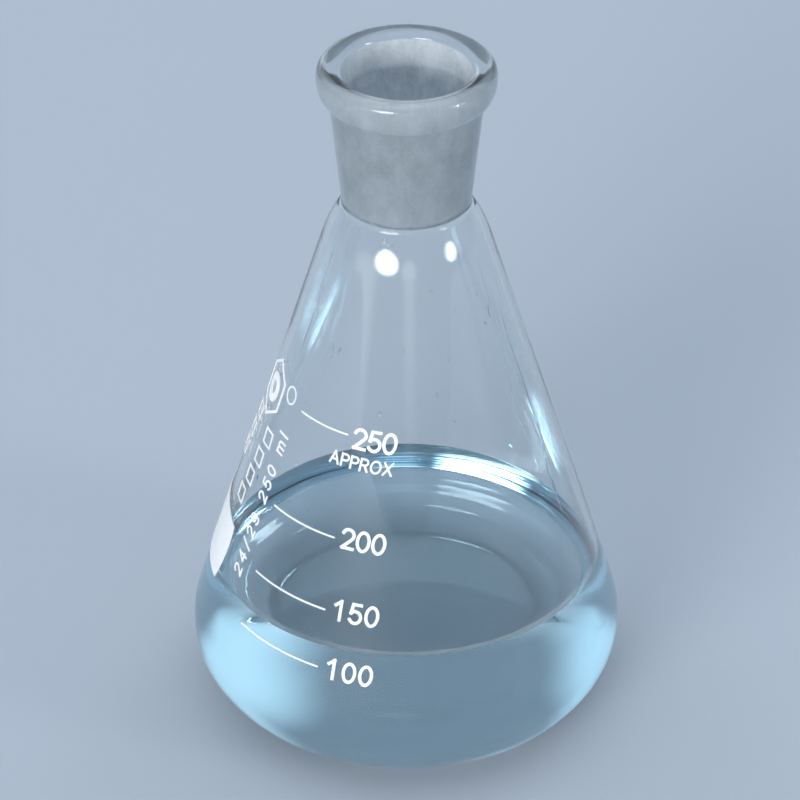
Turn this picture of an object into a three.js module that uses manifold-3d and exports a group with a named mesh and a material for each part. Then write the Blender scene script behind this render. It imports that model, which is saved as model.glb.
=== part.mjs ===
// A 250 ml conical flask with a 24/29 ground-glass socket, part filled with water.
// Millimetres, +Z up. The origin is the middle of the base, on the surface it stands on.
// Azimuth 0 is the -Y side of the flask, and positive azimuths turn towards +X.

import * as THREE from 'three';
import Module from 'manifold-3d';

const wasm = await Module();
wasm.setup();

// ---- Driving dimensions -------------------------------------------------------------------

const FLASK_HEIGHT = 140;
const WALL = 1.45;
const FLOOR_THICKNESS = 2;
const ROUND_SEGMENTS = 60;
const HEEL_STEPS = 8;

// Body: a flat standing ring, a round heel and a straight cone with a short rounded shoulder.
// The wall thickens towards the floor below THICKENING_Z.
const HEEL_RADIUS = 15.6;
const HEEL_CENTRE_RADIUS = 26.9;
const THICKENING_Z = 23.2;
const THICKENING_ANGLE = 6;
const PUNT_RADIUS = 18;
const PUNT_SLOPE = 5;
const PUNT_RISE = 0.5;
const CONE_SLOPE = 0.3087;
const SHOULDER_Z = 102.4;
const SHOULDER_RADIUS = 30;
const SHOULDER_END_ANGLE = 32;
const SHOULDER_STEPS = 4;
const NECK_FOOT_Z = 110.6;
const NECK_FOOT_RADIUS = 12.3;

// Socket: a 1 in 10 ground taper in a tube that widens upwards to a heavy beaded rim.
const GROUND_TAPER = 0.05;
const GROUND_TOP_Z = 138.4;
const GROUND_TOP_RADIUS = 12.35;
const SOCKET_FOOT_Z = 110.9;
const BEAD_FOOT_Z = 133.2;
const BEAD_FOOT_RADIUS = 14.65;
const BEAD_RADIUS = 17;
const BEAD_WIDEST_Z = 137.7;
const BEAD_ROUND = 2.1;
const BEAD_STEPS = 4;
const MOUTH_RADIUS = 14.2;
const RIM_FLAT_RADIUS = 15.6;

// Water
const WATER_LEVEL = 29;
const WATER_GAP = 0.3;
const MENISCUS_RISE = 1.9;
const MENISCUS_REACH = 2.2;
const MENISCUS_KNEE = 0.6;

// Enamel print
const ENAMEL_LIFT = 0.05;
const ENAMEL_THICKNESS = 0.15;
const PRINT_STEP = 2;
const PRINT_TILT = THREE.MathUtils.degToRad(-3);
const NUMERAL_TILT = THREE.MathUtils.degToRad(-2.1);
const SIDE_TEXT_TILT = THREE.MathUtils.degToRad(85.2);
const NUMERAL_HEIGHT = 4.4;
const NUMERAL_STROKE = 0.62;
const NUMERAL_AZIMUTH = -23.2;
const LINE_WIDTH = 0.35;
const LINE_RIGHT_AZIMUTH = -25.4;

// Each line's height and left-hand azimuth, how far below it its number stands, and the space
// between the digits.
const GRADUATIONS = [
  { millilitres: '250', z: 72.9, leftAzimuth: -51.5, drop: 2.65, gap: 0.08 },
  { millilitres: '200', z: 53.1, leftAzimuth: -53.5, drop: 2.05, gap: 0.17 },
  { millilitres: '150', z: 39.1, leftAzimuth: -54.2, drop: 2.0, gap: 0.35 },
  { millilitres: '100', z: 27.9, leftAzimuth: -54.8, drop: 2.35, gap: 0.42 },
];

// ---- Worked-out dimensions ----------------------------------------------------------------

const coneAngle = Math.atan(CONE_SLOPE);
const slopeDegrees = THREE.MathUtils.radToDeg(coneAngle);
const heelTopRadius = HEEL_CENTRE_RADIUS + HEEL_RADIUS * Math.cos(coneAngle);
const heelTopZ = HEEL_RADIUS + HEEL_RADIUS * Math.sin(coneAngle);
const coneRadius = (z) => heelTopRadius - CONE_SLOPE * (z - heelTopZ);
const groundRadius = (z) => GROUND_TOP_RADIUS - GROUND_TAPER * (GROUND_TOP_Z - z);
const innerRadius = (z) => coneRadius(z) - WALL / Math.cos(coneAngle);

// ---- Materials ----------------------------------------------------------------------------

const clearGlass = new THREE.MeshStandardMaterial({
  color: 0xdfe9ec, roughness: 0.03, metalness: 0, transparent: true, opacity: 0.3,
});
const groundGlass = new THREE.MeshStandardMaterial({
  color: 0xc3cdd2, roughness: 0.6, metalness: 0, transparent: true, opacity: 0.8,
});
const water = new THREE.MeshStandardMaterial({
  color: 0xbfdcea, roughness: 0.02, metalness: 0, transparent: true, opacity: 0.45,
});
const whiteEnamel = new THREE.MeshStandardMaterial({
  color: 0xf2f4f5, roughness: 0.45, metalness: 0,
});

// ---- Outlines and turned solids -----------------------------------------------------------

const point = (x, y) => new THREE.Vector2(x, y);

// Points on an arc of an ellipse, with both ends, at angles in degrees.
function arc(centreX, centreY, radiusX, radiusY, from, to, steps) {
  const points = [];
  for (let i = 0; i <= steps; i += 1) {
    const angle = THREE.MathUtils.degToRad(from + (to - from) * i / steps);
    points.push(point(centreX + radiusX * Math.cos(angle), centreY + radiusY * Math.sin(angle)));
  }
  return points;
}

// A solid of revolution about +Z from an outline of (radius, height) points.
function turned(outline) {
  const geometry = new THREE.LatheGeometry(outline, ROUND_SEGMENTS);
  geometry.rotateX(Math.PI / 2);
  return geometry;
}

// The middle of a base or floor at this height, raised a little inside its standing ring.
function punt(z) {
  return [
    point(0, z + PUNT_RISE),
    point(PUNT_RADIUS - PUNT_SLOPE, z + PUNT_RISE),
    point(PUNT_RADIUS, z),
  ];
}

// The floor, heel and lower wall inside the glass, this far in from its inner face.
function lowerInside(gap) {
  const heel = HEEL_RADIUS - FLOOR_THICKNESS - gap;
  const heelEnd = slopeDegrees - THICKENING_ANGLE;
  return [
    ...punt(FLOOR_THICKNESS + gap),
    ...arc(HEEL_CENTRE_RADIUS, HEEL_RADIUS, heel, heel, -90, heelEnd, HEEL_STEPS),
    point(innerRadius(THICKENING_Z) - gap, THICKENING_Z),
  ];
}

// The shoulder above the cone, this far inside its outer face.
function shoulder(inset) {
  const centreX = coneRadius(SHOULDER_Z) - SHOULDER_RADIUS * Math.cos(coneAngle);
  const centreY = SHOULDER_Z - SHOULDER_RADIUS * Math.sin(coneAngle);
  const radius = SHOULDER_RADIUS - inset;
  return arc(centreX, centreY, radius, radius, slopeDegrees, SHOULDER_END_ANGLE, SHOULDER_STEPS);
}

function flaskBody() {
  const outside = [
    ...punt(0),
    ...arc(HEEL_CENTRE_RADIUS, HEEL_RADIUS, HEEL_RADIUS, HEEL_RADIUS, -90, slopeDegrees, HEEL_STEPS),
    point(coneRadius(SHOULDER_Z / 2), SHOULDER_Z / 2),
    ...shoulder(0),
    point(NECK_FOOT_RADIUS, NECK_FOOT_Z),
  ];
  const inside = [
    ...lowerInside(0),
    point(innerRadius(SHOULDER_Z / 2), SHOULDER_Z / 2),
    ...shoulder(WALL),
    point(groundRadius(NECK_FOOT_Z), NECK_FOOT_Z),
  ];
  return turned([...outside, ...inside.reverse()]);
}

function groundSocket() {
  const beadTop = FLASK_HEIGHT - BEAD_WIDEST_Z;
  const outline = [
    point(NECK_FOOT_RADIUS, SOCKET_FOOT_Z),
    point(BEAD_FOOT_RADIUS, BEAD_FOOT_Z),
    point(BEAD_FOOT_RADIUS + 1.05, BEAD_FOOT_Z + 0.7),
    point(BEAD_RADIUS - 0.45, BEAD_FOOT_Z + 2.4),
    ...arc(BEAD_RADIUS - BEAD_ROUND, BEAD_WIDEST_Z, BEAD_ROUND, beadTop, 0, 70, BEAD_STEPS),
    point(RIM_FLAT_RADIUS, FLASK_HEIGHT),
    point(RIM_FLAT_RADIUS - 0.9, FLASK_HEIGHT),
    point(MOUTH_RADIUS, FLASK_HEIGHT - 0.35),
    point(MOUTH_RADIUS - 0.9, FLASK_HEIGHT - 1.1),
    point(GROUND_TOP_RADIUS, GROUND_TOP_Z),
    point(groundRadius(SOCKET_FOOT_Z), SOCKET_FOOT_Z),
    point(NECK_FOOT_RADIUS, SOCKET_FOOT_Z),
  ];
  return turned(outline);
}

function waterFill() {
  const wallRadius = (z) => innerRadius(z) - WATER_GAP;
  const edgeZ = WATER_LEVEL + MENISCUS_RISE;
  return turned([
    ...lowerInside(WATER_GAP),
    point(wallRadius(edgeZ), edgeZ),
    point(wallRadius(edgeZ) - MENISCUS_KNEE, WATER_LEVEL + MENISCUS_RISE / 4),
    point(wallRadius(WATER_LEVEL) - MENISCUS_REACH, WATER_LEVEL),
    point(0, WATER_LEVEL),
  ]);
}

// ---- Enamel print on the cone -------------------------------------------------------------

// Bends a flat plate, drawn in x (around) and y (up the slope) with its thickness in z,
// onto the cone. Its origin goes to the given azimuth in degrees and height.
function wrapOnCone(geometry, azimuth, height, tilt) {
  geometry.rotateZ(tilt);
  const place = geometry.getAttribute('position');
  const middle = THREE.MathUtils.degToRad(azimuth);
  for (let i = 0; i < place.count; i += 1) {
    const slopeZ = height + place.getY(i) * Math.cos(coneAngle);
    const lift = ENAMEL_LIFT + place.getZ(i);
    const angle = middle + place.getX(i) / coneRadius(slopeZ);
    const radius = coneRadius(slopeZ) + lift * Math.cos(coneAngle);
    const z = slopeZ + lift * Math.sin(coneAngle);
    place.setXYZ(i, radius * Math.sin(angle), -radius * Math.cos(angle), z);
  }
  return geometry;
}

// The same line with extra points, so that no step is longer than PRINT_STEP.
function stepped(line) {
  const points = [line[0]];
  for (let i = 1; i < line.length; i += 1) {
    const steps = Math.ceil(line[i - 1].distanceTo(line[i]) / PRINT_STEP);
    for (let k = 1; k <= steps; k += 1) points.push(line[i - 1].clone().lerp(line[i], k / steps));
  }
  return points;
}

// A plate cut along a centre line: an open stroke with square ends, or a closed ring.
// Each point of the line becomes a station of four corners, and the stations are skinned over.
function strokePlate(line, width) {
  const closed = line[0].distanceTo(line[line.length - 1]) < 1e-6;
  const path = closed ? stepped(line).slice(0, -1) : stepped(line);
  const count = path.length;
  const corners = [];
  for (let i = 0; i < count; i += 1) {
    const before = closed ? path[(i + count - 1) % count] : path[Math.max(i - 1, 0)];
    const after = closed ? path[(i + 1) % count] : path[Math.min(i + 1, count - 1)];
    const into = path[i].clone().sub(before).normalize();
    const out = after.clone().sub(path[i]).normalize();
    const along = into.clone().add(out).normalize();
    const spread = width / 2 / Math.max(along.dot(into.lengthSq() ? into : out), 0.5);
    const side = point(-along.y, along.x).multiplyScalar(spread);
    const middle = path[i].clone();
    if (!closed && i === 0) middle.addScaledVector(along, -width / 2);
    if (!closed && i === count - 1) middle.addScaledVector(along, width / 2);
    const left = middle.clone().add(side);
    const right = middle.clone().sub(side);
    corners.push(left.x, left.y, 0, right.x, right.y, 0);
    corners.push(right.x, right.y, ENAMEL_THICKNESS, left.x, left.y, ENAMEL_THICKNESS);
  }
  const faces = closed ? [] : [0, 1, 2, 0, 2, 3];
  for (let i = 0; i < (closed ? count : count - 1); i += 1) {
    const here = 4 * i;
    const next = 4 * ((i + 1) % count);
    for (let k = 0; k < 4; k += 1) {
      const turn = (k + 1) % 4;
      faces.push(here + k, next + turn, here + turn, here + k, next + k, next + turn);
    }
  }
  const last = 4 * (count - 1);
  if (!closed) faces.push(last, last + 2, last + 1, last, last + 3, last + 2);
  const plate = new THREE.BufferGeometry();
  plate.setAttribute('position', new THREE.Float32BufferAttribute(corners, 3));
  plate.setIndex(faces);
  return plate;
}

function toManifold(geometry) {
  return new wasm.Manifold(new wasm.Mesh({
    numProp: 3,
    vertProperties: new Float32Array(geometry.getAttribute('position').array),
    triVerts: new Uint32Array(geometry.index.array),
  }));
}

function toGeometry(solid) {
  const mesh = solid.getMesh();
  const geometry = new THREE.BufferGeometry();
  geometry.setAttribute('position', new THREE.BufferAttribute(mesh.vertProperties, 3));
  geometry.setIndex(new THREE.BufferAttribute(mesh.triVerts, 1));
  return geometry;
}

// Centre lines of the characters, one unit tall, and how wide each one is.
const ARC = 7;
const oval = (width, steps) => arc(width / 2, 0.5, width / 2, 0.5, 0, 360, steps);
const bowlP = [
  point(0, 0.48), ...arc(0.34, 0.74, 0.25, 0.26, -90, 90, ARC), point(0, 1), point(0, 0.48),
];
const GLYPHS = {
  0: { width: 0.6, lines: [oval(0.6, 20)] },
  1: { width: 0.6, lines: [[point(0.34, 0), point(0.34, 1)], [point(0.34, 1), point(0.06, 0.76)]] },
  2: {
    width: 0.58,
    lines: [
      [...arc(0.29, 0.71, 0.29, 0.29, 165, -35, ARC + 4), point(0.02, 0)],
      [point(0.02, 0), point(0.58, 0)],
    ],
  },
  4: {
    width: 0.62,
    lines: [
      [point(0.46, 0), point(0.46, 1)],
      [point(0.46, 1), point(0, 0.3)],
      [point(0, 0.3), point(0.6, 0.3)],
    ],
  },
  5: {
    width: 0.58,
    lines: [
      [point(0.52, 1), point(0.12, 1)],
      [point(0.12, 1), point(0.05, 0.52)],
      arc(0.28, 0.32, 0.3, 0.32, 140, -150, ARC + 6),
    ],
  },
  9: {
    width: 0.58,
    lines: [
      arc(0.29, 0.69, 0.29, 0.31, 0, 360, 16),
      [...arc(0.29, 0.3, 0.29, 0.3, -150, 0, ARC), point(0.58, 0.69)],
    ],
  },
  '/': { width: 0.42, lines: [[point(0, -0.05), point(0.42, 1.05)]] },
  m: {
    width: 0.84,
    lines: [
      [point(0, 0), point(0, 0.68)],
      [point(0, 0.4), ...arc(0.21, 0.47, 0.21, 0.21, 180, 0, ARC), point(0.42, 0)],
      [point(0.42, 0.4), ...arc(0.63, 0.47, 0.21, 0.21, 180, 0, ARC), point(0.84, 0)],
    ],
  },
  l: { width: 0.06, lines: [[point(0.03, 0), point(0.03, 1)]] },
  A: {
    width: 0.74,
    lines: [
      [point(0, 0), point(0.37, 1)],
      [point(0.37, 1), point(0.74, 0)],
      [point(0.15, 0.34), point(0.59, 0.34)],
    ],
  },
  P: { width: 0.56, lines: [bowlP, [point(0, 0), point(0, 0.5)]] },
  R: {
    width: 0.6,
    lines: [bowlP, [point(0, 0), point(0, 0.5)], [point(0.33, 0.48), point(0.6, 0)]],
  },
  O: { width: 0.8, lines: [oval(0.8, 20)] },
  X: { width: 0.66, lines: [[point(0, 0), point(0.66, 1)], [point(0, 1), point(0.66, 0)]] },
  ' ': { width: 0.25, lines: [] },
};

// One character as a flat plate with its lower left corner at the origin.
function glyphPlate(character, height, stroke) {
  const scale = height - stroke;
  const plates = GLYPHS[character].lines.map((line) => {
    const scaled = line.map((p) => point(p.x * scale + stroke / 2, p.y * scale + stroke / 2));
    return toManifold(strokePlate(scaled, stroke));
  });
  return toGeometry(plates.reduce((whole, plate) => whole.add(plate)));
}

const flask = new THREE.Group();

function addPiece(name, geometry, material) {
  const mesh = new THREE.Mesh(geometry, material);
  mesh.name = name;
  flask.add(mesh);
}

// A row of characters from a left end at the given place. A turned row reads up the slope.
function addText(name, text, place) {
  const { azimuth, z, height, stroke, gap, tilt } = place;
  let along = 0;
  [...text].forEach((character, index) => {
    const advance = GLYPHS[character].width * (height - stroke) + stroke + gap;
    if (GLYPHS[character].lines.length > 0) {
      const plate = glyphPlate(character, height, stroke);
      plate.translate(along, 0, 0);
      addPiece(`${name}_${index + 1}`, wrapOnCone(plate, azimuth, z, tilt), whiteEnamel);
    }
    along += advance;
  });
}

// ---- The flask ----------------------------------------------------------------------------

addPiece('flask_body', flaskBody(), clearGlass);
addPiece('ground_socket', groundSocket(), groundGlass);
addPiece('water', waterFill(), water);

// Graduation lines, each with its number at its right-hand end.
for (const { millilitres, z, leftAzimuth, drop, gap } of GRADUATIONS) {
  const middle = (leftAzimuth + LINE_RIGHT_AZIMUTH) / 2;
  const length = THREE.MathUtils.degToRad(LINE_RIGHT_AZIMUTH - leftAzimuth) * coneRadius(z);
  const line = new THREE.BoxGeometry(length, LINE_WIDTH, ENAMEL_THICKNESS, 8, 1, 1);
  line.translate(0, 0, ENAMEL_THICKNESS / 2);
  addPiece(`line_${millilitres}_ml`, wrapOnCone(line, middle, z, PRINT_TILT), whiteEnamel);
  addText(`number_${millilitres}_digit`, millilitres, {
    azimuth: NUMERAL_AZIMUTH,
    z: z - drop,
    height: NUMERAL_HEIGHT,
    stroke: NUMERAL_STROKE,
    gap,
    tilt: NUMERAL_TILT,
  });
}

addText('approx_letter', 'APPROX', {
  azimuth: -32.4, z: 66.6, height: 2.75, stroke: 0.4, gap: 0.24, tilt: PRINT_TILT,
});

// The joint size and capacity, reading up the cone.
addText('side_text', '24/29 250 ml', {
  azimuth: -61, z: 35.8, height: 3.1, stroke: 0.42, gap: 1.06, tilt: SIDE_TEXT_TILT,
});

// A plain badge: a tall hexagon round a thick ring, and a small plain ring beside it.
const BADGE = { azimuth: -78.5, z: 71.9, width: 5.2, height: 6, stroke: 0.6 };
const BADGE_CORE = { azimuth: -78.5, z: 71.9, width: 1.98, height: 2.28, stroke: 1.6 };
const SMALL_RING = { azimuth: -60.8, z: 74.4, width: 1.55, height: 1.75, stroke: 0.32 };
const RING_STEPS = 18;

// An outline of this many sides round a centre, with its first corner at the top.
function addRing(name, ring, sides) {
  const plate = strokePlate(arc(0, 0, ring.width, ring.height, 90, 450, sides), ring.stroke);
  addPiece(name, wrapOnCone(plate, ring.azimuth, ring.z, 0), whiteEnamel);
}

addRing('badge_hexagon', BADGE, 6);
addRing('badge_core', BADGE_CORE, RING_STEPS);
addRing('small_ring', SMALL_RING, RING_STEPS);

// Two columns of tick boxes between the badge and the writing patch, each from its top box.
const TICK_BOX = { half: 1.55, stroke: 0.42, pitch: 4.8, turn: -2.6 };
const TICK_COLUMNS = [
  { first: 1, last: 4, azimuth: -69, z: 63.3 },
  { first: 5, last: 7, azimuth: -87, z: 64.5 },
];
const { half } = TICK_BOX;
const boxLine = [
  point(-half, -half), point(half, -half), point(half, half), point(-half, half),
  point(-half, -half),
];
for (const { first, last, azimuth, z } of TICK_COLUMNS) {
  for (let number = first; number <= last; number += 1) {
    const down = number - first;
    const plate = strokePlate(boxLine, TICK_BOX.stroke);
    wrapOnCone(plate, azimuth + TICK_BOX.turn * down, z - TICK_BOX.pitch * down, 0);
    addPiece(`tick_box_${number}`, plate, whiteEnamel);
  }
}

// The writing patch: a plate with bulging sides, from a grid whose corners are drawn in.
const PATCH = { azimuth: -94, z: 36.6, halfWidth: 13.2, halfHeight: 7, corner: 0.14 };
const patch = new THREE.BoxGeometry(2, 2, ENAMEL_THICKNESS, 14, 6, 1);
patch.translate(0, 0, ENAMEL_THICKNESS / 2);
const patchPoints = patch.getAttribute('position');
for (let i = 0; i < patchPoints.count; i += 1) {
  const x = patchPoints.getX(i);
  const y = patchPoints.getY(i);
  patchPoints.setX(i, PATCH.halfWidth * x * Math.sqrt(1 - PATCH.corner * y * y));
  patchPoints.setY(i, PATCH.halfHeight * y * Math.sqrt(1 - PATCH.corner * x * x));
}
addPiece('writing_patch', wrapOnCone(patch, PATCH.azimuth, PATCH.z, PRINT_TILT), whiteEnamel);

export default flask;
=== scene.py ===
# The visual model of a 250 ml conical flask with a ground-glass socket, part filled with water.
# Lengths are in millimetres until a mesh is made, and then in metres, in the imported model's frame.
# A 2-D point is (radius, height). Angles are in degrees where a table or a constant gives them.
import math
import random

import bmesh
import bpy
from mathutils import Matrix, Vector


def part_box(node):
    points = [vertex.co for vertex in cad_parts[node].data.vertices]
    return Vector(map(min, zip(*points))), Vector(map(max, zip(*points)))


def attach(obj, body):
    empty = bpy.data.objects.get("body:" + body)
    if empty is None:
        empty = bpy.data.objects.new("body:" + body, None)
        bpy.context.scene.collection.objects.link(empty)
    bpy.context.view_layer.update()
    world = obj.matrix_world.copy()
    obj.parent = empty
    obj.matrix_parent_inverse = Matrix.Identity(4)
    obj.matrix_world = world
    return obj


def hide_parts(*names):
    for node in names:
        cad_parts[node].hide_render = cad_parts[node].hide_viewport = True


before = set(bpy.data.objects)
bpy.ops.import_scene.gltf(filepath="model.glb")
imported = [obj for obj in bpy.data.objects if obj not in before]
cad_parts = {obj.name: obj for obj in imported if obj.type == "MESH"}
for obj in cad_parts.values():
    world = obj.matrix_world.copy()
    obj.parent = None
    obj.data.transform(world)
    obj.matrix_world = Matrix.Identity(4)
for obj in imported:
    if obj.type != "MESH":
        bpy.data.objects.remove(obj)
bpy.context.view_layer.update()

MM = 0.001
TURN = 2 * math.pi

# ---- Sizes taken from the frame -------------------------------------------------------------

body_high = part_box("flask_body")[1]
socket_low, socket_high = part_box("ground_socket")

MAX_RADIUS = body_high.x / MM
RIM_Z = socket_high.z / MM
BEAD_RADIUS = socket_high.x / MM
SEAM_Z = (body_high.z + socket_low.z) / 2 / MM

# ---- The glass's own shape ------------------------------------------------------------------

# How far inside the CAD model's box the glass stays.
SKIN = 0.004

HEEL_RADIUS = 15.6
HEEL_CENTRE = MAX_RADIUS - HEEL_RADIUS - SKIN
CONE_SLOPE = 0.3087
CONE_ANGLE = math.atan(CONE_SLOPE)
SHOULDER_Z = 102.4
SHOULDER_RADIUS = 30.0
SHOULDER_END_ANGLE = 32.0
NECK_FOOT_RADIUS = 12.3
NECK_FOOT_RISE = 1.2
BEAD_FOOT_RADIUS = 14.65
BEAD_FOOT_Z = 133.2
BEAD_WIDEST_Z = 137.7
BEAD_ROUND = 2.0
BEAD_END_ANGLE = 84
RIM_INSET = 1.9
LIP_RADIUS = 14.3
GROUND_TOP_Z = 138.4
GROUND_TOP_RADIUS = 12.35
GROUND_TAPER = 0.05
CONE_WALL = 1.45
FLOOR_THICKNESS = 2.0

# The straight inner wall ends this far above the heel's top, and the inner heel's arc starts this
# many degrees past it.
INNER_HEEL_RISE = 3.0
INNER_HEEL_ANGLE = 6

# How far the control points of the curves stand from the ends they lead to, across and along.
SHOULDER_LEAD = (0.5, 0.75)
NECK_LEAD = 0.6
BORE_FOOT_LEAD = (0.02, 0.9)
LIP_LEAD = (0.35, 0.35)

# The crease under the bead begins this far down the neck and ends here on the bead's underside.
CREASE_START = 0.5
CREASE_LEADS = [(0.0, -0.1), (0.1, -0.05)]
CREASE_END = (0.6, 0.05)
BEAD_LOW_LEAD = (0.55, 0.35)
BEAD_SIDE_LEAD = 2.3

# ---- The water ------------------------------------------------------------------------------

WATER_LEVEL = 29.0
WATER_INTO_WALL = 0.15

# The meniscus: its height at the wall, how fast it falls away, and where its rings stand, as
# distances from the wall.
MENISCUS_RISE = 1.9
CAPILLARY_LENGTH = 2.5
MENISCUS_REACHES = (22, 14, 10, 8, 6.5, 5.4, 4.5, 3.7, 3.0, 2.4, 1.9, 1.45, 1.05, 0.7, 0.4, 0.18, 0)

WET_Z = WATER_LEVEL + MENISCUS_RISE

# ---- Water left on the inner wall -----------------------------------------------------------

DROP_SEED = 11
DROP_INTO_WALL = 0.02

# A long drop is up to this share wider at its lower end, and as much narrower at its upper one. Its
# last ring stops this share of a step short of its top.
DROP_FULLNESS = 0.35
DROP_TOP_GAP = 0.6

# Fine drops: how many, their least half width and how much wider they come, how much longer than
# wide, how proud of the wall for their width, and between which heights.
FINE_DROPS = 90
FINE_DROP_LEAST = 0.12
FINE_DROP_SPREAD = 0.26
FINE_DROP_STRETCH = (1.0, 1.5)
FINE_DROP_PROUD = 0.28
FINE_DROP_LOW_Z = WATER_LEVEL + 5
FINE_DROP_HIGH_Z = SHOULDER_Z - 3

# Big drops: azimuth, z, half width, half length.
BIG_DROP_PROUD = 0.3
BIG_DROPS = [
    (-19, 107.6, 0.75, 1.3),
    (-44, 86, 0.5, 1.5),
    (57, 92, 0.45, 1.2),
    (48, 66, 0.45, 0.8),
    (140, 80, 0.5, 1.4),
    (-150, 62, 0.5, 1.0),
]

# Film edges: azimuth, top, bottom, how far they sway, and width.
FILM_PROUD = 0.04
FILM_EDGES = [
    (45, 108, 78, 1.6, 2.2),
    (60, 102, 58, 1.3, 2.0),
    (68, 94, 46, 1.0, 1.1),
    (-46, 104, 78, 1.4, 2.0),
    (-66, 106, 80, 1.1, 1.6),
    (112, 96, 58, 0.5, 1.6),
    (-140, 100, 64, 0.7, 1.8),
]

# A film's path: its step down the wall, and how it drifts and waves at each step.
FILM_STEP = 0.7
DRIFT_STEP = 0.12
DRIFT_KEPT = 0.97
WAVE_RATE = 0.13
RIPPLE_RATE = 0.31
RIPPLE_SHARE = 0.25

# A film narrows over this many steps at each end, from this share of a step.
FILM_END_STEPS = 14
FILM_END_START = 0.4

# ---- Values of the materials ----------------------------------------------------------------

GLASS_IOR = 1.474
WATER_IOR = 1.333

CLEAR_TINT = (0.965, 0.985, 0.985, 1)
SATIN_TINT = (0.82, 0.88, 0.92, 1)
DEEP_WATER = (0.80, 0.92, 0.98, 1)
THIN_WATER = (0.98, 0.995, 1.0, 1)
FLOOR_COLOUR = (0.50, 0.56, 0.64, 1)

# The tone of the grinding is the sum of these, each from nothing up to its share. The last is painted
# light: it comes in between the two heights, in metres, that are just under the bead, and lightens the
# grinding above them as if the thick bead gathered light onto it.
CLOUD_SHARE = 0.44
STREAK_SHARE = 0.15
GRAIN_SHARE = 0.17
UNDER_BEAD_PAINTED_LIGHT = 0.27
UNDER_BEAD_PAINTED_LIGHT_Z = (0.1325, 0.1335)

GRINDING_COLOURS = [
    (0.1, (0.26, 0.31, 0.35, 1)),
    (0.64, (0.60, 0.65, 0.685, 1)),
    (0.95, (0.76, 0.81, 0.85, 1)),
]
ENAMEL_COLOURS = [
    (0.25, (0.86, 0.88, 0.90, 1)),
    (0.6, (0.95, 0.96, 0.97, 1)),
]

# Nearly all of a noise texture's values lie between these two.
NOISE_LOW = 0.3
NOISE_HIGH = 0.7

# ---- Floor, light and camera ----------------------------------------------------------------

# The floor lies this far below the base, in metres, so that the two faces are never one.
FLOOR_GAP = 0.0001

# Soft lights in the studio round the flask: azimuth from the camera's side towards +X, elevation,
# outer and core radius in degrees, how much wider than tall, brightness and colour.
LIGHTS = [
    ("key", -28, 14.5, 11, 3.5, 1.8, 19.0, (1.0, 0.98, 0.95)),
    ("fill", 66, 12.5, 7.5, 1.5, 1.35, 18.0, (1.0, 0.98, 0.96)),
    ("overhead", 0, 90, 50, 20, 1.0, 0.9, (0.9, 0.95, 1.0)),
    ("back_left", 140, 34, 24, 4, 1.0, 0.85, (0.70, 0.90, 1.0)),
    ("back_right", -130, 28, 24, 4, 1.0, 0.8, (0.66, 0.88, 1.0)),
    ("front_low", 3, 10, 11, 2, 1.2, 1.6, (0.92, 0.97, 1.0)),
    ("left_low", -55, 4, 14, 3, 1.6, 1.4, (0.92, 0.97, 1.0)),
    ("rim", -165, 8, 8, 3, 4.0, 1.3, (0.95, 1.0, 1.0)),
]
AMBIENT = (0.72, 0.84, 1.0)
AMBIENT_STRENGTH = 0.34

# The camera looks at the aim point from this far off, in metres, and this high above level.
CAMERA_AIM = (-0.00125, 0, 0.06542)
CAMERA_DISTANCE = 0.87665
CAMERA_ELEVATION = 32.98

GLASS_BOUNCES = 32
GLOSSY_BOUNCES = 12

# ---- Outlines -------------------------------------------------------------------------------

# Two points of an outline closer than this are one, and a point closer to the axis is on it.
SAME_POINT = 1e-4
ON_AXIS = 1e-6


def arc(centre, radii, start, end, steps):
    """Points on an arc of an ellipse, with both ends, at angles in degrees."""
    points = []
    for i in range(steps + 1):
        angle = math.radians(start + (end - start) * i / steps)
        points.append((centre[0] + radii[0] * math.cos(angle), centre[1] + radii[1] * math.sin(angle)))
    return points


def curve(points, steps):
    """Points on a cubic Bezier curve through four control points, with both ends."""
    a, b, c, d = (Vector(p) for p in points)
    made = []
    for i in range(steps + 1):
        t = i / steps
        s = 1 - t
        made.append(tuple(a * s**3 + b * (3 * s * s * t) + c * (3 * s * t * t) + d * t**3))
    return made


def line(start, end, steps):
    """Points along a straight line, with both ends."""
    return [
        (start[0] + (end[0] - start[0]) * i / steps, start[1] + (end[1] - start[1]) * i / steps)
        for i in range(steps + 1)
    ]


def joined(*stretches):
    """One outline from several stretches, with no point twice over."""
    outline = []
    for stretch in stretches:
        for p in stretch:
            if not outline or math.dist(outline[-1], p) > SAME_POINT:
                outline.append(p)
    return outline


def moved(point, out, up):
    """A point this far out from another and this far up."""
    return (point[0] + out, point[1] + up)


def cone_radius(z):
    """The outer face's radius at a height on the cone."""
    return heel_top[0] - CONE_SLOPE * (z - heel_top[1])


def inner_cone_radius(z):
    """The inner face's radius at a height on the cone."""
    return cone_radius(z) - CONE_WALL / math.cos(CONE_ANGLE)


def ground_radius(z):
    """The radius of the ground bore at a height."""
    return GROUND_TOP_RADIUS - GROUND_TAPER * (GROUND_TOP_Z - z)


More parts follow.
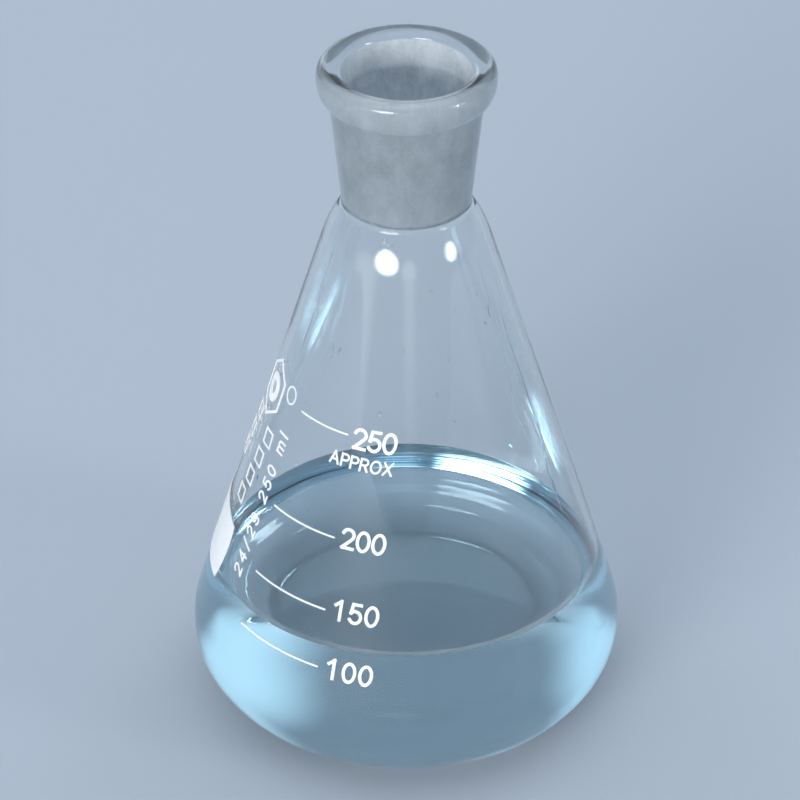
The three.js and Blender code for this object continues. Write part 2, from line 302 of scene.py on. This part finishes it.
heel_centre = (HEEL_CENTRE, HEEL_RADIUS)
heel_top = (
    HEEL_CENTRE + HEEL_RADIUS * math.cos(CONE_ANGLE),
    HEEL_RADIUS + HEEL_RADIUS * math.sin(CONE_ANGLE),
)
shoulder_centre = (
    cone_radius(SHOULDER_Z) - SHOULDER_RADIUS * math.cos(CONE_ANGLE),
    SHOULDER_Z - SHOULDER_RADIUS * math.sin(CONE_ANGLE),
)
neck_slope = (BEAD_FOOT_RADIUS - NECK_FOOT_RADIUS) / (BEAD_FOOT_Z - SEAM_Z)
neck_foot = (NECK_FOOT_RADIUS + neck_slope * NECK_FOOT_RISE, SEAM_Z + NECK_FOOT_RISE)
bead_foot = (BEAD_FOOT_RADIUS, BEAD_FOOT_Z)
bead_widest = (BEAD_RADIUS - SKIN, BEAD_WIDEST_Z)
rim = (BEAD_RADIUS - SKIN - RIM_INSET, RIM_Z - SKIN)
bore_top = (GROUND_TOP_RADIUS, GROUND_TOP_Z)
bore_foot = (ground_radius(SEAM_Z), SEAM_Z)


def shoulder(inset):
    """The rounded shoulder above the cone, as far inside the outer face as asked."""
    radius = SHOULDER_RADIUS - inset
    start = math.degrees(CONE_ANGLE)
    return arc(shoulder_centre, (radius, radius), start, SHOULDER_END_ANGLE, steps=14)


def above_shoulder(point):
    """The control point that leads from the shoulder's upper end, this point, towards the neck."""
    return moved(point, -SHOULDER_LEAD[0], SHOULDER_LEAD[1])


def inner_face(z):
    """The inner face's radius at a height on the cone or shoulder, and how far up its normal tilts."""
    radius = SHOULDER_RADIUS - CONE_WALL
    above = z - shoulder_centre[1]
    if above <= radius * math.sin(CONE_ANGLE):
        return inner_cone_radius(z), CONE_ANGLE
    return shoulder_centre[0] + math.sqrt(radius**2 - above**2), math.asin(above / radius)


def body_outside():
    """The outer face, from the middle of the base up to the foot of the neck."""
    rounded = shoulder(inset=0)
    return joined(
        line((0.0, 0.0), (HEEL_CENTRE, 0.0), steps=6),
        arc(heel_centre, (HEEL_RADIUS, HEEL_RADIUS), -90, math.degrees(CONE_ANGLE), steps=26),
        line(heel_top, rounded[0], steps=24),
        rounded,
        curve(
            [
                rounded[-1],
                above_shoulder(rounded[-1]),
                (NECK_FOOT_RADIUS - neck_slope * NECK_LEAD, SEAM_Z - NECK_LEAD),
                neck_foot,
            ],
            steps=10,
        ),
    )


def socket_outside():
    """The outer face of the neck and its beaded rim, up to the top."""
    crease_start = moved(bead_foot, -neck_slope * CREASE_START, -CREASE_START)
    crease_end = moved(bead_foot, *CREASE_END)
    bead_top_height = RIM_Z - SKIN - BEAD_WIDEST_Z
    return joined(
        line(neck_foot, crease_start, steps=12),
        curve([crease_start, *(moved(bead_foot, *lead) for lead in CREASE_LEADS), crease_end], steps=6),
        curve(
            [
                crease_end,
                (BEAD_RADIUS - BEAD_LOW_LEAD[0], BEAD_FOOT_Z + BEAD_LOW_LEAD[1]),
                moved(bead_widest, 0, -BEAD_SIDE_LEAD),
                bead_widest,
            ],
            steps=14,
        ),
        arc(
            moved(bead_widest, -BEAD_ROUND, 0), (BEAD_ROUND, bead_top_height), 0, BEAD_END_ANGLE, steps=10
        ),
        [rim],
    )


def mouth():
    """The clear flared lip, from the top of the rim down to where the grinding starts."""
    return curve(
        [rim, (LIP_RADIUS, rim[1]), (bore_top[0] + LIP_LEAD[0], RIM_Z - LIP_LEAD[1]), bore_top],
        steps=10,
    )


def bore():
    """The ground taper, from its top to its foot."""
    return line(bore_top, bore_foot, steps=16)


def dry_inside():
    """The inner face from the foot of the grinding down to the water's edge."""
    rounded = shoulder(inset=CONE_WALL)[::-1]
    below_bore = moved(bore_foot, -BORE_FOOT_LEAD[0], -BORE_FOOT_LEAD[1])
    return joined(
        curve([bore_foot, below_bore, above_shoulder(rounded[0]), rounded[0]], steps=8),
        rounded,
        line(rounded[-1], (inner_cone_radius(WET_Z), WET_Z), steps=20),
    )


def wet_inside(into_wall=0.0):
    """The inner face below the water's edge, to the middle of the floor, sunk into the glass if asked."""
    thickness = FLOOR_THICKNESS - into_wall
    heel_radius = HEEL_RADIUS - thickness
    heel_start = math.degrees(CONE_ANGLE) - INNER_HEEL_ANGLE
    wall_foot_z = heel_top[1] + INNER_HEEL_RISE
    return joined(
        line(
            (inner_cone_radius(WET_Z) + into_wall, WET_Z),
            (inner_cone_radius(wall_foot_z) + into_wall, wall_foot_z),
            steps=4,
        ),
        arc(heel_centre, (heel_radius, heel_radius), heel_start, -90, steps=24),
        line((HEEL_CENTRE, thickness), (0.0, thickness), steps=6),
    )


def water_surface():
    """From the middle of the water's surface out and up the meniscus to the wall."""
    edge_radius = inner_cone_radius(WET_Z)
    points = [(0.0, WATER_LEVEL)]
    for reach in MENISCUS_REACHES:
        rise = MENISCUS_RISE * math.exp(-reach / CAPILLARY_LENGTH)
        points.append((edge_radius - reach, WATER_LEVEL + rise))
    return points


# ---- Meshes ---------------------------------------------------------------------------------

ROUND_STEPS = 180


def turned(name, stretches):
    """A closed solid of revolution. Each stretch is (outline, material number); they join end to end."""
    outline = []
    slots = []
    for points, slot_number in stretches:
        for p in points:
            if outline and math.dist(outline[-1], p) < SAME_POINT:
                continue
            if outline:
                slots.append(slot_number)
            outline.append(p)
    mesh = bmesh.new()
    rings = []
    for radius, z in outline:
        if radius < ON_AXIS:
            rings.append([mesh.verts.new((0, 0, z * MM))])
            continue
        rings.append([
            mesh.verts.new((
                radius * MM * math.cos(TURN * k / ROUND_STEPS),
                radius * MM * math.sin(TURN * k / ROUND_STEPS),
                z * MM,
            ))
            for k in range(ROUND_STEPS)
        ])
    for (low, high), slot_number in zip(zip(rings, rings[1:]), slots):
        for k in range(ROUND_STEPS):
            after = (k + 1) % ROUND_STEPS
            corners = [
                low[k % len(low)],
                low[after % len(low)],
                high[after % len(high)],
                high[k % len(high)],
            ]
            face = mesh.faces.new(list(dict.fromkeys(corners)))
            face.material_index = slot_number
            face.smooth = True
    bmesh.ops.recalc_face_normals(mesh, faces=mesh.faces)
    return finished(name, mesh)


def finished(name, mesh):
    """A new object of this name, in the scene, with the mesh in it."""
    data = bpy.data.meshes.new(name)
    mesh.to_mesh(data)
    mesh.free()
    piece = bpy.data.objects.new(name, data)
    bpy.context.scene.collection.objects.link(piece)
    return piece


# ---- Materials ------------------------------------------------------------------------------


class Surface:
    """A new material with a Principled BSDF, and the kinds of node that are added to it."""

    def __init__(self, name, sockets):
        self.material = bpy.data.materials.new(name)
        self.material.use_nodes = True
        self.nodes = self.material.node_tree.nodes
        self.links = self.material.node_tree.links
        self.shader = self.nodes["Principled BSDF"]
        for socket, value in sockets.items():
            self.shader.inputs[socket].default_value = value

    def varies(self, socket, value):
        """Lets a node's output set one of the shader's sockets."""
        self.links.new(value, self.shader.inputs[socket])

    def object_place(self):
        """The object's own coordinates, in metres."""
        return self.nodes.new("ShaderNodeTexCoord").outputs["Object"]

    def noise(self, scale, stretch=(1, 1, 1), detail=3.0, roughness=0.5):
        """Noise in the object's space. Scale is per metre, and a stretch under 1 draws it out."""
        mapping = self.nodes.new("ShaderNodeMapping")
        mapping.inputs["Scale"].default_value = stretch
        texture = self.nodes.new("ShaderNodeTexNoise")
        texture.inputs["Scale"].default_value = scale
        texture.inputs["Detail"].default_value = detail
        texture.inputs["Roughness"].default_value = roughness
        self.links.new(self.object_place(), mapping.inputs["Vector"])
        self.links.new(mapping.outputs["Vector"], texture.inputs["Vector"])
        return texture.outputs["Fac"]

    def ranged(self, value, low, high, from_low=NOISE_LOW, from_high=NOISE_HIGH):
        """The value moved into a new range."""
        node = self.nodes.new("ShaderNodeMapRange")
        node.inputs["From Min"].default_value = from_low
        node.inputs["From Max"].default_value = from_high
        node.inputs["To Min"].default_value = low
        node.inputs["To Max"].default_value = high
        self.links.new(value, node.inputs["Value"])
        return node.outputs["Result"]

    def total(self, values):
        """The sum of several values."""
        so_far = values[0]
        for value in values[1:]:
            add = self.nodes.new("ShaderNodeMath")
            self.links.new(so_far, add.inputs[0])
            self.links.new(value, add.inputs[1])
            so_far = add.outputs["Value"]
        return so_far

    def ramp(self, value, stops):
        """A colour for the value, from two or more stops of (position, colour) in rising order."""
        node = self.nodes.new("ShaderNodeValToRGB")
        elements = node.color_ramp.elements
        for number, (position, colour) in enumerate(stops[:2]):
            elements[number].position = position
            elements[number].color = colour
        for position, colour in stops[2:]:
            elements.new(position).color = colour
        self.links.new(value, node.inputs["Fac"])
        return node.outputs["Color"]

    def bump(self, height, strength, distance):
        """Relief from a height, at most this many metres deep."""
        node = self.nodes.new("ShaderNodeBump")
        node.inputs["Strength"].default_value = strength
        node.inputs["Distance"].default_value = distance
        self.links.new(height, node.inputs["Height"])
        self.varies("Normal", node.outputs["Normal"])


def clear_glass(name, ior):
    """Blown borosilicate glass, with faint upright drawing lines and a slow waviness."""
    surface = Surface(
        name, {"Base Color": CLEAR_TINT, "Roughness": 0.0, "IOR": ior, "Transmission Weight": 1.0}
    )
    waves = surface.noise(scale=60, stretch=(1, 1, 0.22), detail=2.0)
    surface.bump(waves, strength=0.12, distance=0.0006)
    return surface.material


def satin_glass():
    """The outside of the socket: clear glass under a faint satin bloom, with small scuffs."""
    surface = Surface(
        "satin_glass", {"Base Color": SATIN_TINT, "IOR": GLASS_IOR, "Transmission Weight": 0.86}
    )
    haze = surface.noise(scale=350, stretch=(1, 1, 0.6), detail=5.0, roughness=0.65)
    scuffs = surface.noise(scale=2400)
    surface.varies("Roughness", surface.ranged(haze, low=0.06, high=0.2))
    surface.bump(scuffs, strength=0.12, distance=0.00004)
    return surface.material


def ground_glass():
    """The ground taper: fine matt grinding, cloudy, with upright streaks, and painted light that makes it
    whiter under the bead.
    """
    surface = Surface("ground_glass", {"IOR": GLASS_IOR, "Transmission Weight": 0.35})
    streaks = surface.noise(scale=420, stretch=(1, 1, 0.15), detail=4.0)
    clouds = surface.noise(scale=210, stretch=(1, 1, 0.75), detail=6.0, roughness=0.7)
    grain = surface.noise(scale=2600, roughness=0.6)
    place = surface.nodes.new("ShaderNodeSeparateXYZ")
    surface.links.new(surface.object_place(), place.inputs["Vector"])
    tone = surface.total([
        surface.ranged(clouds, 0.0, CLOUD_SHARE),
        surface.ranged(streaks, 0.0, STREAK_SHARE),
        surface.ranged(grain, 0.0, GRAIN_SHARE),
        # Painted light: the grinding is lightened from just under the bead upwards, for the light the
        # thick bead gathers.
        surface.ranged(place.outputs["Z"], 0.0, UNDER_BEAD_PAINTED_LIGHT, *UNDER_BEAD_PAINTED_LIGHT_Z),
    ])
    surface.varies("Base Color", surface.ramp(tone, GRINDING_COLOURS))
    surface.varies("Roughness", surface.ranged(streaks, low=0.42, high=0.62))
    surface.bump(grain, strength=0.35, distance=0.00005)
    return surface.material


def clear_water(name, ior, colour):
    """Clear water with a nearly still surface."""
    surface = Surface(
        name, {"Base Color": colour, "Roughness": 0.0, "IOR": ior, "Transmission Weight": 1.0}
    )
    ripples = surface.noise(scale=45, detail=1.0)
    surface.bump(ripples, strength=0.04, distance=0.0005)
    return surface.material


def white_enamel():
    """Fired white print: satin, very slightly uneven in tone and gloss."""
    surface = Surface("white_enamel", {})
    blotches = surface.noise(scale=900)
    grain = surface.noise(scale=6000, detail=1.0)
    surface.varies("Base Color", surface.ramp(blotches, ENAMEL_COLOURS))
    surface.varies("Roughness", surface.ranged(blotches, low=0.35, high=0.5))
    surface.bump(grain, strength=0.15, distance=0.00002)
    return surface.material


# ---- The flask, its water and its print -----------------------------------------------------


def make_flask():
    """The whole vessel as one closed piece of glass, as the fused flask is."""
    clear, ground, wetted, satin = range(4)
    piece = turned(
        "flask_glass",
        [
            (body_outside(), clear),
            (socket_outside(), satin),
            (mouth(), clear),
            (bore(), ground),
            (dry_inside(), clear),
            (wet_inside(), wetted),
        ],
    )
    piece.data.materials.append(clear_glass("clear_glass", GLASS_IOR))
    piece.data.materials.append(ground_glass())
    piece.data.materials.append(clear_glass("wetted_glass", GLASS_IOR / WATER_IOR))
    piece.data.materials.append(satin_glass())
    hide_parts("flask_body", "ground_socket")
    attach(piece, "root")


def make_water():
    """The fill. Its side lies inside the glass and bends no light: the wetted glass does that."""
    top, side = range(2)
    piece = turned("water_fill", [(water_surface(), top), (wet_inside(WATER_INTO_WALL), side)])
    piece.data.materials.append(clear_water("water_surface", WATER_IOR, DEEP_WATER))
    piece.data.materials.append(clear_water("water_side", 1.0, DEEP_WATER))
    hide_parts("water")
    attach(piece, "root")


class WallWater:
    """Drops and thin films of water on the inner wall, gathered into one mesh."""

    AROUND = 12
    RINGS = 4
    ACROSS = 8

    def __init__(self):
        self.mesh = bmesh.new()
        self.sunk = set()

    def place(self, azimuth, z, out):
        """A point this far off the inner wall, towards the axis. Azimuth is in radians."""
        wall_radius, tilt = inner_face(z)
        radius = (wall_radius - out * math.cos(tilt)) * MM
        height = (z - out * math.sin(tilt)) * MM
        corner = self.mesh.verts.new((radius * math.sin(azimuth), -radius * math.cos(azimuth), height))
        if out < 0:
            self.sunk.add(corner)
        return corner

    def skin(self, rings):
        """Faces between closed rings of points, with one polygon over each end."""
        for low, high in zip(rings, rings[1:]):
            for k in range(len(low)):
                after = (k + 1) % len(low)
                self.mesh.faces.new((low[k], low[after], high[after], high[k]))
        self.mesh.faces.new(rings[0][::-1])
        self.mesh.faces.new(rings[-1])

    def drop(self, azimuth, z, width, length, height):
        """A bead of water, fuller towards its lower end. Width and length are halves."""
        levels = [(1.0, -DROP_INTO_WALL)]
        for i in range(1, self.RINGS + 1):
            angle = math.pi / 2 * i / (self.RINGS + DROP_TOP_GAP)
            levels.append((math.cos(angle), height * math.sin(angle)))
        fullness = DROP_FULLNESS * min(1.0, length / width - 1)
        rings = []
        for spread, out in levels:
            ring = []
            for k in range(self.AROUND):
                turn = TURN * k / self.AROUND
                along = -math.cos(turn)
                across = math.sin(turn) * (1 - fullness * along)
                level = z + along * spread * length * math.cos(CONE_ANGLE)
                sideways = across * spread * width / inner_cone_radius(level)
                ring.append(self.place(azimuth + sideways, level, out))
            rings.append(ring)
        self.skin(rings)

    def film(self, path, width, height):
        """The raised edge of a film that has run down the wall, along a path of (azimuth, z)."""
        rings = []
        for i, (azimuth, z) in enumerate(path):
            from_end = min(i, len(path) - 1 - i) + FILM_END_START
            taper = math.sin(math.pi / 2 * min(1.0, from_end / FILM_END_STEPS))
            half = width * taper / 2 / inner_cone_radius(z)
            ring = []
            for k in range(self.ACROSS + 1):
                t = k / self.ACROSS
                out = height * taper * math.sin(math.pi * t) ** 2 - DROP_INTO_WALL
                ring.append(self.place(azimuth + half * (2 * t - 1), z, out))
            for k in range(self.ACROSS - 1, 0, -1):
                t = k / self.ACROSS
                ring.append(self.place(azimuth + half * (2 * t - 1), z, -DROP_INTO_WALL))
            rings.append(ring)
        self.skin(rings)


def wandering(azimuth, high, low, sway, dice):
    """A path down the wall that drifts from side to side."""
    path = []
    drift = 0.0
    phase = dice.uniform(0, TURN)
    steps = int((high - low) / FILM_STEP)
    for i in range(steps + 1):
        drift += dice.uniform(-DRIFT_STEP, DRIFT_STEP)
        drift *= DRIFT_KEPT
        wave = math.sin(phase + i * WAVE_RATE) + RIPPLE_SHARE * math.sin(phase * 2 + i * RIPPLE_RATE)
        path.append((math.radians(azimuth + sway * (wave + drift)), high - FILM_STEP * i))
    return path


def make_wall_water():
    """What the last swirl left behind: fine drops, a few bigger ones, and film edges."""
    dice = random.Random(DROP_SEED)
    water = WallWater()
    for _ in range(FINE_DROPS):
        size = FINE_DROP_LEAST + FINE_DROP_SPREAD * dice.random() ** 2
        azimuth = dice.uniform(0, TURN)
        z = FINE_DROP_LOW_Z + (FINE_DROP_HIGH_Z - FINE_DROP_LOW_Z) * dice.random()
        length = size * dice.uniform(*FINE_DROP_STRETCH)
        water.drop(azimuth, z, size, length, size * FINE_DROP_PROUD)
    for azimuth, z, width, length in BIG_DROPS:
        water.drop(math.radians(azimuth), z, width, length, width * BIG_DROP_PROUD)
    for azimuth, high, low, sway, width in FILM_EDGES:
        water.film(wandering(azimuth, high, low, sway, dice), width, width * FILM_PROUD)
    # A face that goes down into the wall is flat, so that it doesn't bend the shading of the rest.
    for face in water.mesh.faces:
        face.smooth = water.sunk.isdisjoint(face.verts)
    bmesh.ops.recalc_face_normals(water.mesh, faces=water.mesh.faces)
    piece = finished("wall_water", water.mesh)
    piece.data.materials.append(clear_water("drop_water", WATER_IOR, THIN_WATER))
    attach(piece, "root")


def finish_print():
    """Gives every printed mark its enamel."""
    enamel = white_enamel()
    for node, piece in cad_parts.items():
        if node not in ("flask_body", "ground_socket", "water"):
            piece.data.materials.clear()
            piece.data.materials.append(enamel)


# ---- The studio -----------------------------------------------------------------------------


def make_floor():
    """A plain pale floor, just under the base."""
    mesh = bmesh.new()
    bmesh.ops.create_grid(mesh, x_segments=1, y_segments=1, size=6.0)
    piece = finished("floor", mesh)
    piece.location.z = -FLOOR_GAP
    surface = Surface("floor", {"Base Color": FLOOR_COLOUR, "Roughness": 0.7})
    piece.data.materials.append(surface.material)


def vector_math(nodes, operation):
    """A new vector node for one operation."""
    node = nodes.new("ShaderNodeVectorMath")
    node.operation = operation
    return node


def soft_light(nodes, links, direction, light):
    """One soft light in the sky: its colour in the directions it fills, and black elsewhere."""
    name, azimuth, elevation, outer, core, wide, strength, colour = light
    turn = nodes.new("ShaderNodeMapping")
    turn.name = name
    turn.vector_type = "TEXTURE"
    turn.inputs["Rotation"].default_value = (0, -math.radians(elevation), math.radians(azimuth - 90))
    links.new(direction, turn.inputs["Vector"])
    narrow = vector_math(nodes, "MULTIPLY")
    narrow.inputs[1].default_value = (1, 1 / wide, 1)
    links.new(turn.outputs["Vector"], narrow.inputs[0])
    unit = vector_math(nodes, "NORMALIZE")
    links.new(narrow.outputs["Vector"], unit.inputs[0])
    parts = nodes.new("ShaderNodeSeparateXYZ")
    links.new(unit.outputs["Vector"], parts.inputs["Vector"])
    edge = nodes.new("ShaderNodeMapRange")
    edge.interpolation_type = "SMOOTHSTEP"
    edge.inputs["From Min"].default_value = math.cos(math.radians(outer))
    edge.inputs["From Max"].default_value = math.cos(math.radians(core))
    edge.inputs["To Max"].default_value = strength
    links.new(parts.outputs["X"], edge.inputs["Value"])
    tint = vector_math(nodes, "SCALE")
    tint.inputs[0].default_value = colour
    links.new(edge.outputs["Result"], tint.inputs["Scale"])
    return tint.outputs["Vector"]


def make_lights():
    """A plain studio: a dim surround with a few soft lights in it."""
    world = bpy.data.worlds.new("studio")
    bpy.context.scene.world = world
    world.use_nodes = True
    nodes = world.node_tree.nodes
    links = world.node_tree.links
    direction = nodes.new("ShaderNodeTexCoord").outputs["Generated"]
    total = None
    for light in LIGHTS:
        add = vector_math(nodes, "ADD")
        links.new(soft_light(nodes, links, direction, light), add.inputs[0])
        if total is None:
            add.inputs[1].default_value = tuple(c * AMBIENT_STRENGTH for c in AMBIENT)
        else:
            links.new(total, add.inputs[1])
        total = add.outputs["Vector"]
    links.new(total, nodes["Background"].inputs["Color"])


def make_camera():
    """The camera, in front of the flask and looking down at it."""
    data = bpy.data.cameras.new("camera")
    data.lens = 202.5
    data.sensor_width = 36
    data.clip_start = 0.05
    data.clip_end = 50
    camera = bpy.data.objects.new("camera", data)
    bpy.context.scene.collection.objects.link(camera)
    elevation = math.radians(CAMERA_ELEVATION)
    back = Vector((0, -math.cos(elevation), math.sin(elevation)))
    camera.location = Vector(CAMERA_AIM) + back * CAMERA_DISTANCE
    camera.rotation_mode = "QUATERNION"
    camera.rotation_quaternion = (-back).to_track_quat("-Z", "Y")
    bpy.context.scene.camera = camera


make_camera()
make_flask()
make_water()
make_wall_water()
finish_print()
make_floor()
make_lights()
bpy.context.scene.view_settings.view_transform = "Standard"
bpy.context.scene.cycles.max_bounces = GLASS_BOUNCES
bpy.context.scene.cycles.transmission_bounces = GLASS_BOUNCES
bpy.context.scene.cycles.glossy_bounces = GLOSSY_BOUNCES
